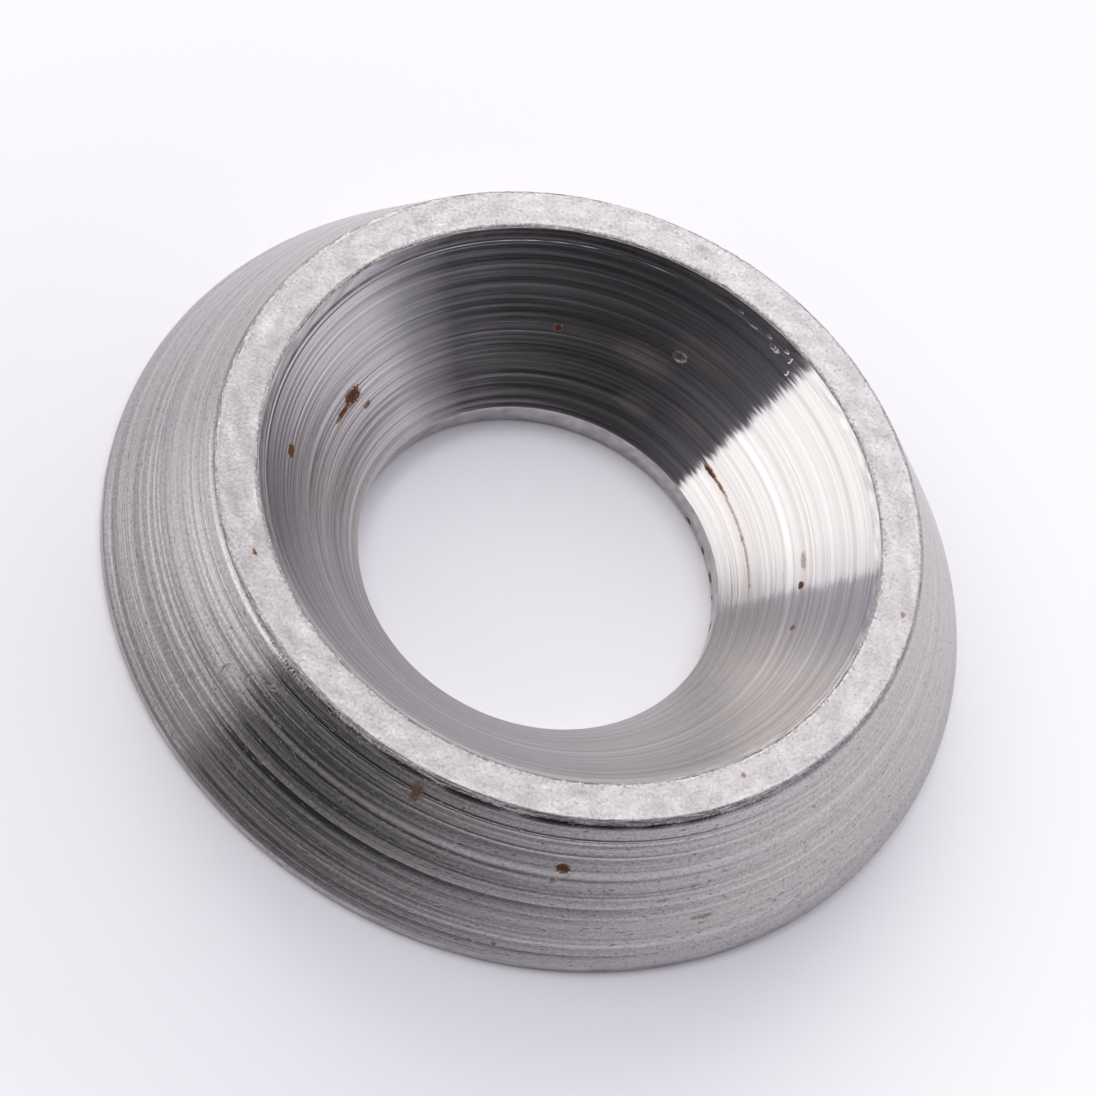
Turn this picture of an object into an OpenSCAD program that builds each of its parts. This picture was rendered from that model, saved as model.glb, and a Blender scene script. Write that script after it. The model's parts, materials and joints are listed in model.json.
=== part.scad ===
// Solid cup washer for a countersunk screw, turned from bar as one piece.
// A narrow margin of the bar stands at the foot, and a conical flank rises
// from it to a flat rim. Inside the rim a countersink takes the screw's head
// and runs down to a short plain bore, the land.
// The flat base lies on z = 0 and the axis is +Z.

/* [Outside] */
// Outer diameter, over the margin at the foot
base_d = 20; // [17:0.1:30]
// Height of the cylindrical margin below the flank
margin_h = 0.25; // [0.1:0.05:2]
// Width of the flat rim between the flank and the countersink
rim_w = 0.95; // [0.3:0.05:1.8]

/* [Screw seat] */
// Diameter of the plain bore, the clearance hole for the screw
bore_d = 8.4; // [5:0.1:13]
// Length of the plain bore below the countersink
land_h = 0.6; // [0.3:0.05:3]
// Diameter of the countersink's mouth, where it meets the rim
mouth_d = 14.4; // [10:0.1:17.5]
// Included angle of the countersink, the same as the screw head's
seat_angle = 90; // [60:1:120]

/* [Edges] */
// Rounding of the margin's lower edge
foot_edge_r = 0.05; // [0.01:0.01:0.08]
// Rounding of the rim's outer and inner edges
rim_edge_r = 0.08; // [0.01:0.01:0.14]
// Rounding of the bore's lower edge
bore_edge_r = 0.1; // [0.02:0.01:0.25]

/* [Hidden] */
$fn = 128;
edge_steps = 6;

base_r = base_d / 2;
bore_r = bore_d / 2;
mouth_r = mouth_d / 2;
rim_r = mouth_r + rim_w;
seat_h = (mouth_r - bore_r) / tan(seat_angle / 2);
height = land_h + seat_h;

// Half section through the axis, as [corner, rounding radius], counter-clockwise
section = [
    [[bore_r, 0], bore_edge_r],
    [[base_r, 0], foot_edge_r],
    [[base_r, margin_h], 0],
    [[rim_r, height], rim_edge_r],
    [[mouth_r, height], rim_edge_r],
    [[bore_r, land_h], 0],
];

function unit(v) = v / norm(v);

function turned(v, angle) = [
    v.x * cos(angle) - v.y * sin(angle),
    v.x * sin(angle) + v.y * cos(angle),
];

// Points of the arc that rounds a convex corner between its two neighbours
function corner_arc(before, corner, after, r) =
    let (
        to_before = unit(before - corner),
        to_after = unit(after - corner),
        half = acos(to_before * to_after) / 2,
        centre = corner + unit(to_before + to_after) * r / sin(half),
        start = corner + to_before * r / tan(half) - centre,
        sweep = 180 - 2 * half
    )
    [for (i = [0 : edge_steps]) centre + turned(start, sweep * i / edge_steps)];

// The section's corners with their roundings, as one closed outline
function outline(corners) =
    let (count = len(corners))
    [
        for (i = [0 : count - 1])
            let (
                before = corners[(i + count - 1) % count][0],
                corner = corners[i][0],
                after = corners[(i + 1) % count][0],
                r = corners[i][1]
            )
            each (r > 0 ? corner_arc(before, corner, after, r) : [corner])
    ];

module cup_washer() {
    color([0.66, 0.65, 0.63])
        rotate_extrude()
            polygon(outline(section));
}

cup_washer();
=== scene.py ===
"""The looks of a turned cup washer: tool-marked steel on a pale floor in soft light."""
import json
import math
from collections import namedtuple

import bpy
import numpy as np
from mathutils import Matrix, Vector


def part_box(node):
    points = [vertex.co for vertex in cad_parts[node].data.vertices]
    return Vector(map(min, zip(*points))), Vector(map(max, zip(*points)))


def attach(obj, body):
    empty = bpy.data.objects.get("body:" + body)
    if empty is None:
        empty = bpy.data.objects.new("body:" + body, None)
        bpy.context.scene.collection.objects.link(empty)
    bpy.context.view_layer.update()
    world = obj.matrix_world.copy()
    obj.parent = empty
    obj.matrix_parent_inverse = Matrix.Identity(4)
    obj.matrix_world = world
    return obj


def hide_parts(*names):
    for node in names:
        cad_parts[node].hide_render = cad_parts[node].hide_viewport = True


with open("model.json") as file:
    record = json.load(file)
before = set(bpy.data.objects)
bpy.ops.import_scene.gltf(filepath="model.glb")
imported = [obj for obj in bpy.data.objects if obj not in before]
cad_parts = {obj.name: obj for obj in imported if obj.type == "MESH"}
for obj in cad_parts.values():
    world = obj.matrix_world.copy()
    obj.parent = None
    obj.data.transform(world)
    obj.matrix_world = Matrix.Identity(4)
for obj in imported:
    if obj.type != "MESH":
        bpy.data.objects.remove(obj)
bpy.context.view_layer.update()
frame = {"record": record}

MM = 0.001
rng = np.random.default_rng(8)
pass_rng = np.random.default_rng(3)

# Sizes of the washer, from the frame where it states them
node_low, node_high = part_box("cup_washer")
bore_mount = next(m for m in frame["record"]["mounts"] if m["name"] == "bore")
base_r = (node_high.x - node_low.x) / 2
height = node_high.z
bore_r = bore_mount["dims"]["r_mm"] * MM
land_h = bore_mount["dims"]["length_mm"] * MM
mouth_r = bore_r + height - land_h
rim_w = 0.95 * MM
rim_r = mouth_r + rim_w
margin_h = 0.25 * MM
foot_edge_r = 0.05 * MM
rim_edge_r = 0.08 * MM
bore_edge_r = 0.1 * MM

# Tool marks: the feed between passes of the tool, the height of the steps left between them, and the
# height of scratches and chatter
flank_feed, flank_step = 0.18 * MM, 0.0065 * MM
seat_feed, seat_step = 0.14 * MM, 0.0028 * MM
base_feed, base_step = 1.3 * MM, 0.006 * MM
scratch_h = 0.0004 * MM
chatter_h = 0.0002 * MM
# How the passes differ in width and height, and their slow change round the axis, as waves and size
PASS_WIDTHS = (0.3, 0.5, 0.8, 1.0, 1.3, 1.7)
PASS_HEIGHTS = (0.4, 0.5, 0.7, 0.9, 1.1)
PASS_WAVES = (6, 0.3)
# Slow waves round the axis: how fast they weaken as they get shorter, and their range
wave_fall, wave_range = 0.7, (0.0, 2.2)
# What the smoothing of a roughness multiplies it by
smoothed_size = 2.4
# Saw-teeth that drop towards the end and towards the start of a stretch, as shares of width and height
TOOTH_TO_END = ((0.0, 0.0), (0.12, 0.08), (0.5, 0.5), (0.83, 1.0))
TOOTH_TO_START = ((0.0, 0.0), (0.17, 1.0), (0.5, 0.5), (0.88, 0.08))

# Ragged edges, the undercut below the rim's outer edge and the ledge and groove inside its mouth
face_grain = 0.0015 * MM
outer_edge_grain = 0.03 * MM
inner_edge_grain = 0.02 * MM
undercut_w, undercut = 0.16 * MM, 0.045 * MM
ledge_w = 0.2 * MM
mouth_groove_w, mouth_groove = 0.1 * MM, 0.011 * MM
# The section of a groove, as shares of width and depth, and its change of depth round the axis, as waves
# and size, roughness and range
GROOVE_SHAPE = ((0.0, 0.0), (0.35, 0.6), (0.7, 1.0), (0.88, 0.75))
GROOVE_WAVES = (16, 0.2)
groove_rough, groove_range = 0.25, (0.4, 1.6)

# Tone of the steel, from 0 for dark to 1 for light, how far passes and plain faces depart from it, and the
# # painted shade of the grooves at their deepest
middle_tone = 0.5
pass_tone = 0.095
face_tone = 0.1
groove_painted_shade = -0.35
# Strength of the fine lines on the plain faces, where 1 is that of the turned ones
face_lines = 0.5

# Fineness of the mesh
SEGMENTS = 324
EDGE_STEPS = 5
FACE_SHARES = (0.0, 0.06, 0.4, 0.75)
RIM_SHARES = (0.0, 0.03, 0.07, 0.3, 0.5, 0.7, 0.93, 0.97)
AZIMUTHS = np.arange(SEGMENTS) * 2 * math.pi / SEGMENTS

# The camera of the photograph, turned to look at the washer
view_elevation = math.radians(56.05)
view_distance = 179.4 * MM
view_from = Vector((0, -math.cos(view_elevation), math.sin(view_elevation)))
view_roll = math.radians(27.0)
view_target = Vector((0, 0, 0.4 * height))
view_lens = 260
view_sensor = 36
view_range = (0.01, 10)

TURNING_MAP = "turning"
BAKE_MAP = "OFBake"


def node(tree, kind, inputs=None, **settings):
    """A shader node; inputs maps a socket's name or number to a value or to a socket to link."""
    made = tree.nodes.new("ShaderNode" + kind)
    for name, value in settings.items():
        setattr(made, name, value)
    for key, value in (inputs or {}).items():
        if isinstance(value, bpy.types.NodeSocket):
            tree.links.new(value, made.inputs[key])
        else:
            made.inputs[key].default_value = value
    return made


def maths(tree, operation, *values):
    return node(tree, "Math", dict(enumerate(values)), operation=operation).outputs[0]


def ramp(tree, value, low, high, from_low, from_high, ease="LINEAR"):
    """A value spread over another range, and kept within it."""
    return node(tree, "MapRange", {
        "Value": value, "From Min": from_low, "From Max": from_high, "To Min": low, "To Max": high,
    }, interpolation_type=ease).outputs[0]


def mixed(tree, factor, first, second):
    return node(tree, "Mix", {0: factor, 6: first, 7: second}, data_type="RGBA").outputs[2]


def attribute(tree, name):
    return node(tree, "Attribute", attribute_name=name).outputs["Fac"]


def empty_material(name):
    material = bpy.data.materials.new(name)
    material.use_nodes = True
    material.node_tree.nodes.clear()
    return material, material.node_tree


def surface(tree, shader):
    node(tree, "OutputMaterial", {"Surface": shader.outputs[0]})


# The section of the washer, as rings round its axis

# A ring's place and outward normal in the section, and its lift, tone and fine lines round the axis
Ring = namedtuple("Ring", "place normal lift tone lines")
EVEN = np.ones(SEGMENTS)


def arc(corner, before, after, radius):
    """Points and outward normals of the arc that rounds a corner of the section."""
    to_before = (before - corner) / np.linalg.norm(before - corner)
    to_after = (after - corner) / np.linalg.norm(after - corner)
    half = math.acos(to_before @ to_after) / 2
    middle = (to_before + to_after) / np.linalg.norm(to_before + to_after)
    centre = corner + middle * radius / math.sin(half)
    start = corner + to_before * radius / math.tan(half) - centre
    sweep = math.pi - 2 * half
    normals = []
    for i in range(EDGE_STEPS + 1):
        turn = sweep * i / EDGE_STEPS
        normals.append(np.array([
            start[0] * math.cos(turn) - start[1] * math.sin(turn),
            start[0] * math.sin(turn) + start[1] * math.cos(turn),
        ]) / radius)
    return [(centre + radius * n, n) for n in normals]


def around(waves, size):
    """A slow, closed variation round the axis, about 1 on average."""
    total = np.ones(SEGMENTS)
    for n in range(1, waves + 1):
        total += rng.normal(0, size / n ** wave_fall) * np.cos(n * AZIMUTHS + rng.uniform(0, 2 * math.pi))
    return np.clip(total, *wave_range)


def speckle(size):
    """A fine roughness round the axis."""
    rough = rng.normal(0, size, SEGMENTS)
    return (np.roll(rough, 1) + 2 * rough + np.roll(rough, -1)) / smoothed_size


def strongest_at(azimuth, least, power):
    """A strength round the axis: 1 at an azimuth in degrees, least opposite it."""
    return least + (1 - least) * ((1 + np.cos(AZIMUTHS - math.radians(azimuth))) / 2) ** power


def way_of(start, end):
    """Direction along a straight stretch of the section, and its outward normal."""
    along = (end - start) / np.linalg.norm(end - start)
    return along, np.array([along[1], -along[0]])


def turned_rings(start, end, feed, step, lean, strength=EVEN, painted_shading=(0 * EVEN, 0 * EVEN), lines=EVEN):
    """A straight stretch that the tool has left in low saw-teeth of uneven width and height.

    The share called lean of the teeth drop towards the end of the stretch, and the rest towards its start.
    The painted shading is what is taken off the tone at its start and at its end: painted shade, or
    painted light where it is below 0.
    """
    length = np.linalg.norm(end - start)
    along, normal = way_of(start, end)
    edges = [0.0]
    while edges[-1] < length:
        edges.append(edges[-1] + feed * pass_rng.choice(PASS_WIDTHS))
    edges = np.array(edges) * length / edges[-1]
    rings = []
    for first, last in zip(edges[:-1], edges[1:]):
        tall = step * pass_rng.choice(PASS_HEIGHTS) * math.sqrt((last - first) / feed)
        fade = around(*PASS_WAVES) * strength
        tooth = TOOTH_TO_START if pass_rng.random() > lean else TOOTH_TO_END
        for share, rise in tooth:
            reached = first + share * (last - first)
            painted_here = painted_shading[0] + (painted_shading[1] - painted_shading[0]) * reached / length
            scratches = rng.normal(0, scratch_h) * around(*PASS_WAVES) + speckle(chatter_h)
            lift = tall * (rise - 1) * fade + scratches
            streaks = rng.normal(0, pass_tone) * around(*PASS_WAVES) * (1 + lines) / 2
            rings.append(Ring(start + along * reached, normal, lift, middle_tone + streaks - painted_here, lines))
    return rings


def plain_rings(start, end, shares=FACE_SHARES, painted_shading=0 * EVEN):
    """A straight stretch with a fine, even grain."""
    normal = way_of(start, end)[1]
    rings = []
    for share in shares:
        lift = -np.abs(speckle(face_grain))
        # The painted shading is taken off the tone: painted shade, or painted light where it is below 0
        tone = middle_tone + speckle(face_tone) - painted_shading
        rings.append(Ring(start + (end - start) * share, normal, lift, tone, face_lines * EVEN))
    return rings


def edge_rings(points, grain):
    """A rounded edge, ragged by so much."""
    return [
        Ring(place, normal, -np.abs(speckle(grain)), middle_tone + speckle(face_tone), face_lines * EVEN)
        for place, normal in points[:-1]
    ]


def groove_rings(start, end, depth, strength):
    """A narrow, ragged groove, painted darker with its depth as painted shade."""
    normal = way_of(start, end)[1]
    deep = strength * np.clip(around(*GROOVE_WAVES) + speckle(groove_rough), *groove_range)
    rings = []
    for share, sunk in GROOVE_SHAPE:
        # Painted shade: the deeper the groove, the darker its tone
        tone = middle_tone + groove_painted_shade * sunk * deep
        rings.append(Ring(start + (end - start) * share, normal, -depth * deep * sunk, tone, EVEN))
    return rings


def section_rings():
    """The rings of each part of the section in turn."""
    bore_foot, foot, margin_top, rim_out, rim_in, seat_foot = (np.array(p) for p in (
        (bore_r, 0), (base_r, 0), (base_r, margin_h), (rim_r, height), (mouth_r, height), (bore_r, land_h),
    ))
    bore_arc = arc(bore_foot, seat_foot, foot, bore_edge_r)
    foot_arc = arc(foot, bore_foot, margin_top, foot_edge_r)
    outer_arc = arc(rim_out, margin_top, rim_in, rim_edge_r)
    inner_arc = arc(rim_in, rim_out, seat_foot, rim_edge_r)
    flank_end, seat_start = outer_arc[0][0], inner_arc[-1][0]
    flank_way, seat_way = way_of(margin_top, flank_end)[0], way_of(seat_start, seat_foot)[0]
    undercut_start = flank_end - flank_way * undercut_w
    groove_start = seat_start + seat_way * ledge_w
    groove_end = groove_start + seat_way * mouth_groove_w
    # Painted shade on the flank: a little darker towards azimuths 160 and -15, and much darker towards -118
    # at its foot and -108 at its top, standing in for the dark reflection at the front left
    flank_darker = 0.01 + 0.12 * strongest_at(160, 0.0, 6) + 0.05 * strongest_at(-15, 0.0, 4)
    foot_painted_shade = flank_darker + 0.5 * strongest_at(-118, 0.0, 12)
    top_painted_shade = flank_darker + 0.5 * strongest_at(-108, 0.0, 30)
    # Painted shading on the seat: painted shade towards -100 on its near side, and painted light towards
    # -173 and -32, standing in for the brightness of what it mirrors
    seat_painted_shading = 0.44 * strongest_at(-100, 0.0, 2) - 0.07
    seat_painted_shading -= 0.26 * strongest_at(-173, 0.0, 24) + 0.08 * strongest_at(-32, 0.0, 30)
    return {
        "base": turned_rings(bore_arc[-1][0], foot_arc[0][0], base_feed, base_step, 0.5),
        "foot_edge": edge_rings(foot_arc, face_grain),
        "margin": plain_rings(foot_arc[-1][0], margin_top),
        "flank": turned_rings(
            margin_top, undercut_start, flank_feed, flank_step, 0.85,
            strength=strongest_at(-135, 0.2, 1.5),
            painted_shading=(foot_painted_shade, top_painted_shade),
            lines=strongest_at(-120, 0.1, 2.5),
        ),
        "undercut": groove_rings(undercut_start, flank_end, undercut, strongest_at(-100, 0.3, 2.0)),
        "rim_outer_edge": edge_rings(outer_arc, outer_edge_grain),
        # Painted shade on the rim: its tone is darker towards azimuth -160, on its left
        "rim": plain_rings(
            outer_arc[-1][0], inner_arc[0][0], RIM_SHARES, painted_shading=0.3 * strongest_at(-160, 0.0, 2.5),
        ),
        "rim_inner_edge": edge_rings(inner_arc, inner_edge_grain),
        "ledge": plain_rings(seat_start, groove_start),
        "mouth_groove": groove_rings(groove_start, groove_end, mouth_groove, strongest_at(145, 0.0, 2)),
        "seat": turned_rings(
            groove_end, seat_foot, seat_feed, seat_step, 0.5,
            strength=strongest_at(165, 0.18, 1.5),
            painted_shading=(seat_painted_shading, seat_painted_shading),
            lines=strongest_at(168, 0.3, 2.5),
        ),
        "land": plain_rings(seat_foot, bore_arc[0][0]),
        "bore_edge": edge_rings(bore_arc, face_grain),
    }


parts = section_rings()
rings = [ring for part in parts.values() for ring in part]
places = np.array([ring.place for ring in rings])
steps = np.linalg.norm(np.roll(places, -1, axis=0) - places, axis=1)
section_length = steps.sum()
section_along = np.concatenate([[0.0], np.cumsum(steps)])

# Where each part starts and ends along the section, in mm; the flank and the seat with their grooves
part_ends = np.cumsum([0] + [len(part) for part in parts.values()])
spans = {name: tuple(section_along[part_ends[i:i + 2]] / MM) for i, name in enumerate(parts)}
spans["flank"] = (spans["flank"][0], spans["undercut"][1])
spans["seat"] = (spans["ledge"][0], spans["seat"][1])


def washer_mesh():
    """The section turned about the axis, with its tool marks as real relief."""
    normals = np.array([ring.normal for ring in rings])
    lifts = np.array([ring.lift for ring in rings])
    radius = places[:, :1] + normals[:, :1] * lifts
    level = np.maximum(places[:, 1:] + normals[:, 1:] * lifts, 0)
    points = np.stack([radius * np.cos(AZIMUTHS), radius * np.sin(AZIMUTHS), level], axis=-1)
    count = len(rings)
    faces, corners = [], []
    for i in range(count):
        here, there = i * SEGMENTS, (i + 1) % count * SEGMENTS
        low, high = section_along[i] / section_length, section_along[i + 1] / section_length
        for j in range(SEGMENTS):
            beside = (j + 1) % SEGMENTS
            faces.append((here + j, here + beside, there + beside, there + j))
            left, right = j / SEGMENTS, (j + 1) / SEGMENTS
            corners += [left, low, right, low, right, high, left, high]
    slots = [1 if name.startswith("rim") else 0 for name, part in parts.items() for _ in part]
    mesh = bpy.data.meshes.new("cup_washer_turned")
    mesh.from_pydata(points.reshape(-1, 3).tolist(), [], faces)
    for name in (TURNING_MAP, BAKE_MAP):
        mesh.uv_layers.new(name=name).data.foreach_set("uv", np.array(corners, np.float32))
    for name in ("tone", "lines"):
        values = np.array([getattr(ring, name) for ring in rings], np.float32)
        mesh.attributes.new(name, "FLOAT", "POINT").data.foreach_set("value", values.ravel())
    mesh.polygons.foreach_set("material_index", np.repeat(np.array(slots, np.int32), SEGMENTS))
    mesh.shade_smooth()
    mesh.update()
    return mesh


# Steel

steel_dark = (0.19, 0.181, 0.178, 1)
steel_light = (0.83, 0.793, 0.782, 1)
rim_dark = (0.38, 0.362, 0.356, 1)
rim_light = (0.81, 0.775, 0.765, 1)
rust_thin = (0.27, 0.175, 0.115, 1)
rust_brown = (0.115, 0.048, 0.024, 1)

# Marks: surface, azimuth in degrees, share of the way along it, length round the axis and width in mm,
# and weight
RUST = (
    ("seat", 170.5, 0.545, 0.62, 0.36, 1.0),
    ("seat", 175.0, 0.56, 0.8, 0.16, 0.8),
    ("seat", 167.5, 0.655, 0.3, 0.14, 0.6),
    ("seat", -164.8, 0.295, 0.4, 0.27, 1.0),
    ("seat", 58.5, 0.80, 0.5, 0.13, 0.9),
    ("seat", 54.0, 0.803, 0.8, 0.09, 0.6),
    ("seat", 43.0, 0.808, 2.2, 0.075, 0.3),
    ("seat", 36.5, 0.81, 0.2, 0.09, 0.45),
    ("seat", 28.0, 0.806, 2.0, 0.075, 0.3),
    ("seat", 21.5, 0.803, 0.25, 0.08, 0.4),
    ("seat", 24.0, 0.47, 0.5, 0.14, 0.3),
    ("seat", 17.7, 0.482, 0.21, 0.15, 0.85),
    ("seat", 6.0, 0.48, 0.18, 0.13, 0.55),
    ("seat", 111.8, 0.536, 0.22, 0.18, 1.0),
    ("seat", 78.0, 0.38, 1.7, 0.8, 0.13),
    ("seat", 90.0, 0.55, 1.5, 0.7, 0.13),
    ("seat", 87.0, 0.8, 1.0, 0.4, 0.15),
    ("seat", 70.0, 0.7, 1.1, 0.5, 0.1),
    ("flank", -91.0, 0.871, 0.3, 0.6, 0.5),
    ("flank", -66.7, 0.671, 0.4, 0.24, 0.7),
    ("flank", -67.9, 0.585, 0.2, 0.16, 0.3),
    ("flank", -45.0, 0.28, 0.6, 0.12, 0.25),
    ("land", 52.0, 0.88, 0.2, 0.12, 1.0),
    ("land", 41.0, 0.92, 0.24, 0.12, 1.0),
    ("land", 31.0, 0.87, 0.3, 0.14, 1.0),
    ("land", 24.0, 0.93, 0.16, 0.1, 1.0),
    ("land", 13.0, 0.87, 0.26, 0.16, 1.0),
    ("land", 4.0, 0.92, 0.32, 0.14, 1.0),
    ("land", -5.0, 0.9, 0.2, 0.16, 1.0),
    ("rim", -138.2, 0.54, 0.2, 0.1, 0.7),
    ("rim", 9.2, 0.274, 0.24, 0.1, 0.4),
    ("rim", -36.4, 0.616, 0.14, 0.12, 0.4),
)
NICKS = (
    ("seat", 83.0, 0.445, 0.32, 0.22, 0.4),
    ("seat", 63.6, 0.13, 0.1, 0.12, 0.3),
    ("seat", 64.8, 0.07, 0.1, 0.14, 0.3),
    ("seat", 66.5, 0.05, 0.16, 0.07, 0.3),
    ("seat", 68.6, 0.085, 0.28, 0.1, 0.35),
    ("seat", 70.8, 0.055, 0.16, 0.06, 0.3),
    ("seat", 74.5, 0.07, 0.2, 0.05, 0.25),
    ("seat", 78.0, 0.05, 0.14, 0.06, 0.25),
    ("flank", -66.7, 0.671, 0.4, 0.24, 1.0),
    ("flank", -67.9, 0.585, 0.2, 0.16, 1.0),
    ("flank", -125.0, 0.61, 0.12, 0.3, 1.0),
    ("flank", -121.5, 0.7, 0.1, 0.22, 0.8),
    ("flank", -118.0, 0.80, 0.3, 0.16, 1.0),
    ("rim", 139.5, 0.45, 0.3, 0.3, 0.4),
    ("rim", 137.0, 0.62, 0.3, 0.2, 0.4),
)
# How much a spot's outline is broken by grain, and where it fades out
spot_grain, spot_fade = 3.0, (1.8, 2.8)
# The weights of a spot between which thin rust, thick rust and a dull crust set in, and the crust's metal
thin_rust, thick_rust, crust = (0, 0.5), (0.45, 0.8), (0.7, 1)
crust_metallic = 0.15

# Noise in the steel: rings or grains a millimetre, the rings' wander round the axis, detail and roughness
HAIR_RINGS = (13, 0.6, 3.0, 0.65)
PIT_RINGS = (16, 50, 1.0, 0.5)
STREAK_RINGS = (20, 7, 2.0, 0.6)
TURNED_GRAIN = (15, 2.0, 0.7)
RIM_GRAIN = (12, 2.0, 0.8)
RIM_BLOTCH = (3.0, 3.0, 0.65)
blotch_share = 0.18
# The ranges of that noise which are used: fine lines, grain, and the low end, which makes pits
hair_range = (-0.14, 0.14)
grain_range, rim_tone_range = (0.3, 0.7), (0.28, 0.68)
pit_range, rim_pit_range = (0.25, 0.33), (0.25, 0.36)

# What fine lines, grain and pits add to the tone
hair_tone = 0.95
grain_tone, pit_tone = 0.14, -0.25
rim_grain_tone, rim_pit_tone = 0.27, -0.6
# Relief in mm: fine lines, nicks, pits as a share of them, and grain, which is higher at the ragged edges
hair_relief = 0.004
nick_depth, pit_share = 0.02, 0.3
grain_relief, ragged_relief = 0.0024, 0.03
rim_relief, broken_relief = 0.009, 0.04
# The rim's broken edges: their width in mm, and how far the outer and the inner one are broken
broken_w = 0.17
outer_broken, inner_broken = 0.2, 0.3
# How far the streaks in the turned surfaces lean round the axis
streak_lean = 0.032
# Roughness of the turned steel and of the rim, and what rust and broken edges add to it
turned_rough, rim_rough = (0.10, 0.22), (0.42, 0.52)
rust_rough, broken_rough = 0.4, 0.8


class Turning:
    """Coordinates on the turned surfaces: millimetres along the section, and the azimuth."""

    def __init__(self, tree):
        self.tree = tree
        uv = node(tree, "UVMap", uv_map=TURNING_MAP)
        split = node(tree, "SeparateXYZ", {0: uv.outputs[0]})
        self.azimuth = maths(tree, "MULTIPLY", split.outputs[0], 2 * math.pi)
        self.along = maths(tree, "MULTIPLY", split.outputs[1], section_length / MM)

    def rings(self, per_mm, wander, detail, roughness):
        """Noise drawn out round the axis, from 0 to 1, with so many rings a millimetre."""
        vector = node(self.tree, "CombineXYZ", {
            0: maths(self.tree, "MULTIPLY", self.along, per_mm),
            1: maths(self.tree, "MULTIPLY", maths(self.tree, "COSINE", self.azimuth), wander),
            2: maths(self.tree, "MULTIPLY", maths(self.tree, "SINE", self.azimuth), wander),
        })
        return node(self.tree, "TexNoise", {
            "Vector": vector.outputs[0], "Scale": 1.0, "Detail": detail, "Roughness": roughness,
        }).outputs[0]

    def spots(self, marks, surfaces, grain):
        """Ragged spots on the named surfaces, from 0 to each mark's weight."""
        tree = self.tree
        total = 0.0
        for name, azimuth, share, length, width, weight in marks:
            if name not in surfaces:
                continue
            first, last = spans[name]
            along = first + share * (last - first)
            ring = np.argmin(np.abs(section_along[:-1] / MM - along))
            reach = length / 2 / (places[ring][0] / MM)
            turned = maths(tree, "SUBTRACT", self.azimuth, math.radians(azimuth))
            turned = maths(tree, "WRAP", turned, math.pi, -math.pi)
            round_axis = maths(tree, "POWER", maths(tree, "MULTIPLY", turned, 1 / reach), 2)
            across = maths(tree, "MULTIPLY", maths(tree, "SUBTRACT", self.along, along), 2 / width)
            squares = maths(tree, "MULTIPLY_ADD", across, across, round_axis)
            ragged = maths(tree, "MULTIPLY_ADD", grain, spot_grain, squares)
            total = maths(tree, "MAXIMUM", total, ramp(tree, ragged, weight, 0, *spot_fade))
        return total


def rusted(tree, rusty, steel):
    """Steel under thin rust, and under thick rust where the spots are strongest."""
    thin = mixed(tree, ramp(tree, rusty, 0, 1, *thin_rust), steel, rust_thin)
    return mixed(tree, ramp(tree, rusty, 0, 1, *thick_rust), thin, rust_brown)


def metallic(tree, rusty):
    """1 on bare steel and thin rust, and less on a crust."""
    return ramp(tree, rusty, 1.0, crust_metallic, *crust)


def raised(tree, relief):
    """The normal of a surface with a relief in millimetres."""
    return node(tree, "Bump", {"Strength": 1.0, "Distance": MM, "Height": relief}).outputs[0]


def grains(tree, per_mm, detail, roughness):
    """Even noise, from 0 to 1, with so many grains a millimetre."""
    place = node(tree, "TexCoord")
    return node(tree, "TexNoise", {
        "Vector": place.outputs["Object"], "Scale": per_mm / MM, "Detail": detail, "Roughness": roughness,
    }).outputs[0]


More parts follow.
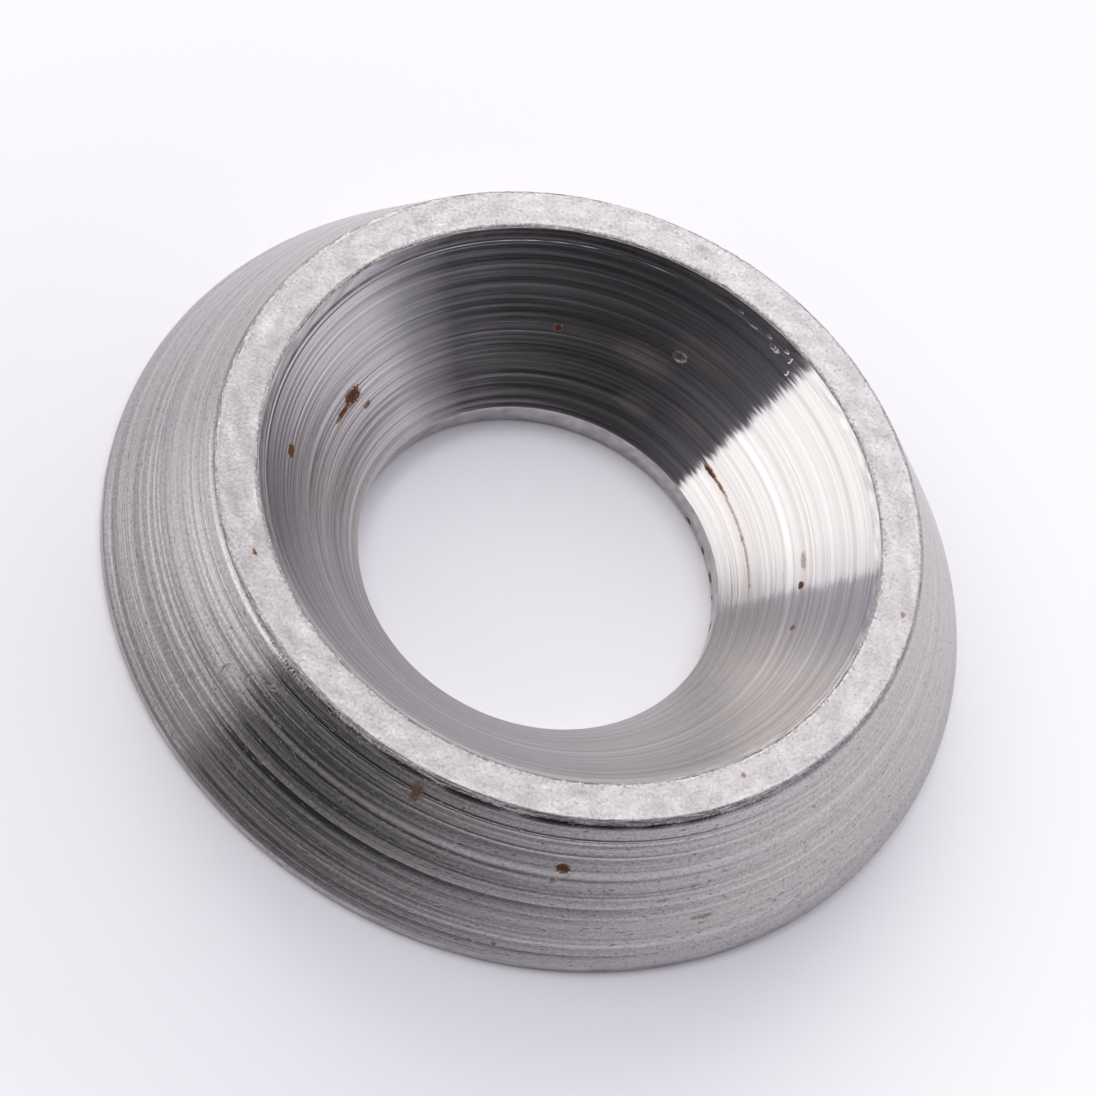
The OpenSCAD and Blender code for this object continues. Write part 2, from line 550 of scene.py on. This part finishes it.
def turned_steel():
    """Steel with the long fine lines of the tool, grain on the flank, rust spots and nicks."""
    material, tree = empty_material("turned_steel")
    turning = Turning(tree)
    grain = grains(tree, *TURNED_GRAIN)
    hair = maths(tree, "SUBTRACT", turning.rings(*HAIR_RINGS), 0.5)
    hair = maths(tree, "MULTIPLY", hair, attribute(tree, "lines"))
    outside = ramp(tree, turning.along, 1, 0, *spans["rim"])
    rusty = turning.spots(RUST, ("seat", "flank", "land"), grain)
    nicked = turning.spots(NICKS, ("seat", "flank"), grain)

    pits = maths(tree, "MULTIPLY", outside, ramp(tree, turning.rings(*PIT_RINGS), 1, 0, *pit_range))
    speckled = maths(tree, "MULTIPLY", outside, ramp(tree, grain, -grain_tone, grain_tone, *grain_range))
    speckled = maths(tree, "MULTIPLY_ADD", pits, pit_tone, speckled)
    tone = maths(tree, "ADD", attribute(tree, "tone"), speckled)
    tone = maths(tree, "MULTIPLY_ADD", hair, hair_tone, tone)
    steel = mixed(tree, ramp(tree, tone, 0, 1, 0, 1), steel_dark, steel_light)

    grain_height = ramp(tree, turning.along, grain_relief, ragged_relief, *spans["undercut"])
    relief = maths(tree, "MULTIPLY", grain, maths(tree, "MULTIPLY", outside, grain_height))
    relief = maths(tree, "MULTIPLY_ADD", hair, hair_relief, relief)
    hollow = maths(tree, "MAXIMUM", nicked, maths(tree, "MULTIPLY", pits, pit_share))
    relief = maths(tree, "MULTIPLY_ADD", hollow, -nick_depth, relief)
    tangent = node(tree, "Tangent", direction_type="RADIAL", axis="Z")
    streak = ramp(tree, turning.rings(*STREAK_RINGS), -streak_lean, streak_lean, 0, 1)
    streak = maths(tree, "MULTIPLY_ADD", streak, outside, streak)
    leant = node(tree, "VectorMath", {0: tangent.outputs[0], "Scale": streak}, operation="SCALE")
    leant = node(tree, "VectorMath", {0: raised(tree, relief), 1: leant.outputs[0]}, operation="ADD")
    leant = node(tree, "VectorMath", {0: leant.outputs[0]}, operation="NORMALIZE")
    rough = ramp(tree, hair, *turned_rough, *hair_range)
    surface(tree, node(tree, "BsdfPrincipled", {
        "Base Color": rusted(tree, rusty, steel),
        "Metallic": metallic(tree, rusty),
        "Roughness": maths(tree, "MULTIPLY_ADD", rusty, rust_rough, rough),
        "Specular IOR Level": 0.2,
        "Anisotropic": 1.0,
        "Anisotropic Rotation": 0.25,
        "Tangent": tangent.outputs[0],
        "Normal": leant.outputs[0],
    }))
    return material


def rim_steel():
    """Matt, finely pitted steel that is more broken along its two edges."""
    material, tree = empty_material("rim_steel")
    turning = Turning(tree)
    grain = grains(tree, *RIM_GRAIN)
    blotch = grains(tree, *RIM_BLOTCH)
    rusty = turning.spots(RUST, ("rim",), grain)
    nicked = turning.spots(NICKS, ("rim",), grain)

    outer, inner = spans["rim_outer_edge"][0], spans["rim_inner_edge"][1]
    broken = maths(tree, "MAXIMUM",
                   ramp(tree, turning.along, outer_broken, 0, outer, outer + broken_w),
                   ramp(tree, turning.along, 0, inner_broken, inner - broken_w, inner))
    pitted = ramp(tree, maths(tree, "SUBTRACT", grain, broken), rim_pit_tone, 0, *rim_pit_range)
    tone = maths(tree, "MULTIPLY", grain, 1 - blotch_share)
    tone = maths(tree, "MULTIPLY_ADD", blotch, blotch_share, tone)
    tone = maths(tree, "ADD", ramp(tree, tone, -rim_grain_tone, rim_grain_tone, *rim_tone_range), pitted)
    tone = maths(tree, "ADD", tone, attribute(tree, "tone"))
    steel = mixed(tree, ramp(tree, tone, 0, 1, 0, 1), rim_dark, rim_light)

    grain_height = maths(tree, "MULTIPLY_ADD", broken, broken_relief, rim_relief)
    relief = maths(tree, "MULTIPLY", grain, grain_height)
    relief = maths(tree, "MULTIPLY_ADD", nicked, -nick_depth, relief)
    rough = ramp(tree, grain, *rim_rough, *grain_range)
    surface(tree, node(tree, "BsdfPrincipled", {
        "Base Color": rusted(tree, rusty, steel),
        "Metallic": metallic(tree, rusty),
        "Roughness": maths(tree, "MULTIPLY_ADD", broken, broken_rough, rough),
        "Normal": raised(tree, relief),
    }))
    return material


washer = bpy.data.objects.new("cup_washer_turned", washer_mesh())
bpy.context.scene.collection.objects.link(washer)
washer.data.materials.append(turned_steel())
washer.data.materials.append(rim_steel())
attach(washer, "root")
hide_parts("cup_washer")

# Floor, light and camera

floor_r = 24.5 * MM
FLOOR_SIDES = 96
# Where the paper turns to the white of the backdrop, and the point that it is measured from, off the centre
# # towards the front left, so that this glowing white takes the place of the object's shadow sooner at the
# # back and right
floor_fade = 10.5 * MM, 19 * MM
floor_fade_from = (-2.5 * MM, -4.5 * MM, 0)
floor_white = (0.97, 0.96, 0.985, 1)
backdrop_white = (0.975, 0.962, 1.0, 1)
backdrop_light = 0.4
# The tent: its radius, the elevation in degrees of its foot, its mesh step, and its tint by brightness
tent_r = 350 * MM
tent_foot = -6
TENT_STEP = 1.0
shade_tint = (0.88, 0.865, 1.0, 1)
key_tint = (1.0, 0.985, 0.955, 1)
tint_range = (0.6, 2.2)

# Light of the tent level with the floor, by azimuth in degrees from +X, and where the panels take over
skirt_top = (5, 14)
SKIRT_LIGHT = (
    (-180, 1.4), (-166, 1.3), (-141, 1.15), (-134.5, 0.03), (-113, 0.03), (-72, 0.28), (-36, 0.5), (0, 0.72),
    (90, 0.9), (163.5, 0.6), (164.5, 1.2), (180, 1.4),
)
# Light of the panels above it, by the azimuth on the seat that mirrors them to the camera: the back of
# the tent, the bright panel at the left, the dark front and the dimmer panel at the right
PANEL_LIGHT = (
    (-180, 1.2), (-165, 1.18), (-30, 1.15), (-4, 0.68), (8, 0.7), (15.5, 0.84), (16.5, 1.62), (28, 1.8),
    (60.5, 1.8), (62, 0.13), (68, 0.11), (80, 0.05), (92, 0.028), (124, 0.03), (138, 0.085), (148, 0.4),
    (158, 0.95), (170, 1.15), (180, 1.2),
)
# Light overhead, and how far down it reaches by azimuth
overhead_light, overhead_soft = 1.0, 16
OVERHEAD_FROM = ((-180, 58), (-60, 58), (-15, 40), (40, 40), (80, 58), (180, 58))
# The key light at the back left: its strength over the panels, its range of azimuth and elevation, and
# its soft edge
key_light = 3.2
key_azimuths, key_elevations = (92, 142), (14, 50)
key_soft = 10


def seen_directly(tree):
    """1 for what the camera sees itself, or in metal or glass."""
    path = node(tree, "LightPath")
    seen = maths(tree, "MAXIMUM", path.outputs["Is Camera Ray"], path.outputs["Is Glossy Ray"])
    return maths(tree, "MAXIMUM", seen, path.outputs["Is Transmission Ray"])


def floor_material():
    """Pale paper that turns to the white of the backdrop towards the edge of the floor."""
    material, tree = empty_material("paper")
    paper = node(tree, "BsdfPrincipled", {
        "Base Color": floor_white, "Roughness": 0.9, "Specular IOR Level": 0.1,
    })
    place = node(tree, "TexCoord")
    away = node(tree, "VectorMath", {0: place.outputs["Object"], 1: floor_fade_from}, operation="DISTANCE")
    white = node(tree, "Emission", {"Color": backdrop_white, "Strength": 1.0})
    gone = ramp(tree, away.outputs["Value"], 0, 1, *floor_fade, "SMOOTHSTEP")
    gone = maths(tree, "MULTIPLY", gone, seen_directly(tree))
    surface(tree, node(tree, "MixShader", {0: gone, 1: paper.outputs[0], 2: white.outputs[0]}))
    material.cycles.emission_sampling = "NONE"
    return material


def staged(name, points, faces, material):
    mesh = bpy.data.meshes.new(name)
    mesh.from_pydata(points, [], faces)
    mesh.materials.append(material)
    made = bpy.data.objects.new(name, mesh)
    bpy.context.scene.collection.objects.link(made)
    return made


def add_floor():
    turns = [2 * math.pi * i / FLOOR_SIDES for i in range(FLOOR_SIDES)]
    edge = [(floor_r * math.cos(t), floor_r * math.sin(t), 0) for t in turns]
    staged("floor", edge, [tuple(range(FLOOR_SIDES))], floor_material())


def eased(value, low, high):
    share = min(max((value - low) / (high - low), 0), 1)
    return share * share * (3 - 2 * share)


def window(value, low, high, soft):
    return eased(value, low, low + soft) * (1 - eased(value, high - soft, high))


def tent_light(direction):
    """Brightness of the tent in one direction."""
    azimuth = math.degrees(math.atan2(direction.y, direction.x))
    elevation = math.degrees(math.asin(direction.z))
    mirror = direction + view_from
    seat_azimuth = math.degrees(math.atan2(-mirror.y, -mirror.x))
    skirt = np.interp(azimuth, *zip(*SKIRT_LIGHT))
    panel = np.interp(seat_azimuth, *zip(*PANEL_LIGHT))
    risen = eased(elevation, *skirt_top)
    overhead_from = np.interp(azimuth, *zip(*OVERHEAD_FROM))
    overhead = eased(elevation, overhead_from, overhead_from + overhead_soft)
    key = window(azimuth, *key_azimuths, key_soft) * window(elevation, *key_elevations, key_soft)
    panel += (overhead_light - panel) * overhead
    return skirt * (1 - risen) + panel * risen + key_light * key


def add_tent():
    """A round tent whose cloth glows unevenly, unseen by the camera itself."""
    turns = np.radians(np.arange(-180, 180, TENT_STEP))
    rises = np.radians(np.arange(tent_foot, 90, TENT_STEP))
    points, glow, faces = [], [], []
    for rise in rises:
        for turn in turns:
            flat = math.cos(rise)
            direction = Vector((flat * math.cos(turn), flat * math.sin(turn), math.sin(rise)))
            points.append(tent_r * direction)
            glow.append(tent_light(direction))
    count = len(turns)
    for i in range(len(rises) - 1):
        for j in range(count):
            beside = (j + 1) % count
            here, above = i * count, (i + 1) * count
            faces.append((here + j, above + j, above + beside, here + beside))
    top = len(points)
    points.append((0, 0, tent_r))
    glow.append(float(np.mean(glow[-count:])))
    last = top - count
    faces += [(last + j, top, last + (j + 1) % count) for j in range(count)]
    material, tree = empty_material("tent")
    brightness = attribute(tree, "glow")
    tint = mixed(tree, ramp(tree, brightness, 0, 1, *tint_range), shade_tint, key_tint)
    surface(tree, node(tree, "Emission", {"Color": tint, "Strength": brightness}))
    material.cycles.emission_sampling = "NONE"
    tent = staged("tent", points, faces, material)
    tent.data.attributes.new("glow", "FLOAT", "POINT").data.foreach_set("value", glow)
    tent.visible_camera = False


def add_world():
    """White all round where the camera, metal or glass sees past the floor, and dim light elsewhere."""
    world = bpy.data.worlds.new("studio")
    bpy.context.scene.world = world
    world.use_nodes = True
    tree = world.node_tree
    tree.nodes.clear()
    strength = ramp(tree, seen_directly(tree), backdrop_light, 1, 0, 1)
    light = node(tree, "Background", {"Color": backdrop_white, "Strength": strength})
    node(tree, "OutputWorld", {"Surface": light.outputs[0]})


def add_camera():
    camera = bpy.data.objects.new("camera", bpy.data.cameras.new("camera"))
    bpy.context.scene.collection.objects.link(camera)
    place = view_distance * view_from
    back = (place - view_target).normalized()
    level = Vector((1, 0, 0))
    rise = back.cross(level)
    right = level * math.cos(view_roll) + rise * math.sin(view_roll)
    up = back.cross(right)
    camera.matrix_world = Matrix.Translation(place) @ Matrix((right, up, back)).transposed().to_4x4()
    camera.data.lens = view_lens
    camera.data.sensor_width = view_sensor
    camera.data.clip_start, camera.data.clip_end = view_range
    bpy.context.scene.camera = camera


add_floor()
add_tent()
add_world()
add_camera()
bpy.context.scene.view_settings.view_transform = "Standard"
